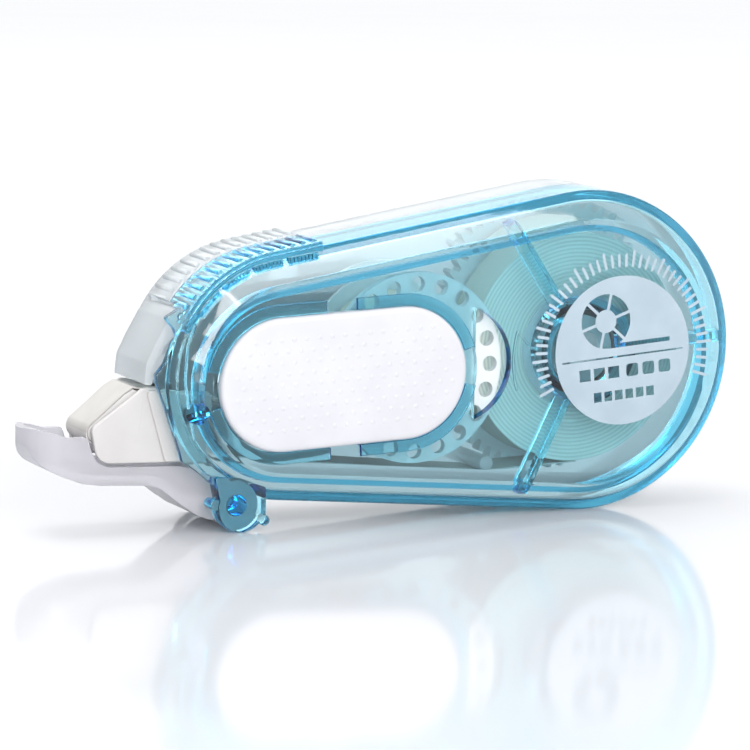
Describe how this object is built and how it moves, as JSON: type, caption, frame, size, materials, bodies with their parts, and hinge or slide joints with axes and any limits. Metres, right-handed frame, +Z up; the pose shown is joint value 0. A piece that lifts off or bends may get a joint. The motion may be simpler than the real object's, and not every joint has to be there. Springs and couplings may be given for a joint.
{
  "type": "correction tape dispenser",
  "caption": "Small handheld correction tape roller: two snapped half shells, slip-clutch reel drive, applicator head with a swinging cap.",
  "frame": {"origin": "centre of the standing object's box on the surface under its lower edge", "axes": "+X along the body towards the big round end, -Y the front face with the finger window, +Z up"},
  "size_m": [0.0692, 0.014, 0.03],
  "materials": {
    "tinted_plastic": "clear blue, polished",
    "frosted_plastic": "milky, translucent",
    "pad_plastic": "soft white with fine dots",
    "white_plastic": "moulded white, satin",
    "gear_plastic": "moulded natural white",
    "tape_film": "matt white film on liner",
    "liner_film": "smooth cream liner",
    "clutch_rubber": "matt black rubber",
    "cap_plastic": "milky, translucent"
  },
  "bodies": {
    "root": {"front_cover": "tinted_plastic", "back_cover": "frosted_plastic", "front_grip_pad": "pad_plastic", "back_grip_pad": "pad_plastic", "applicator_head": "white_plastic", "feed_tape": "tape_film", "return_liner": "liner_film"},
    "drive_gear": {"supply_gear": "gear_plastic", "clutch_ring": "clutch_rubber"},
    "reel": {"supply_core": "gear_plastic", "supply_tape_roll": "tape_film"},
    "take_up": {"take_up_spool": "gear_plastic", "take_up_wheel": "gear_plastic", "used_liner_roll": "liner_film"},
    "cap": {"cap": "cap_plastic"}
  },
  "joints": [
    {"name": "gear_spin", "type": "hinge", "parent": "root", "child": "drive_gear", "pos_m": [0.0196, 0, 0.015], "axis": [0, 1, 0], "continuous": true},
    {"name": "reel_slip", "type": "hinge", "parent": "drive_gear", "child": "reel", "pos_m": [0.0196, 0, 0.015], "axis": [0, 1, 0], "continuous": true},
    {"name": "take_up_spin", "type": "hinge", "parent": "root", "child": "take_up", "pos_m": [0.00202, 0, 0.0142], "axis": [0, 1, 0], "continuous": true},
    {"name": "cap_hinge", "type": "hinge", "parent": "root", "child": "cap", "pos_m": [-0.01515, 0, 0.0023], "axis": [0, -1, 0], "range_deg": [0, 160]}
  ],
  "couplings": [
    {"joint": "take_up_spin", "follows": "gear_spin", "ratio": -2.1429}
  ]
}
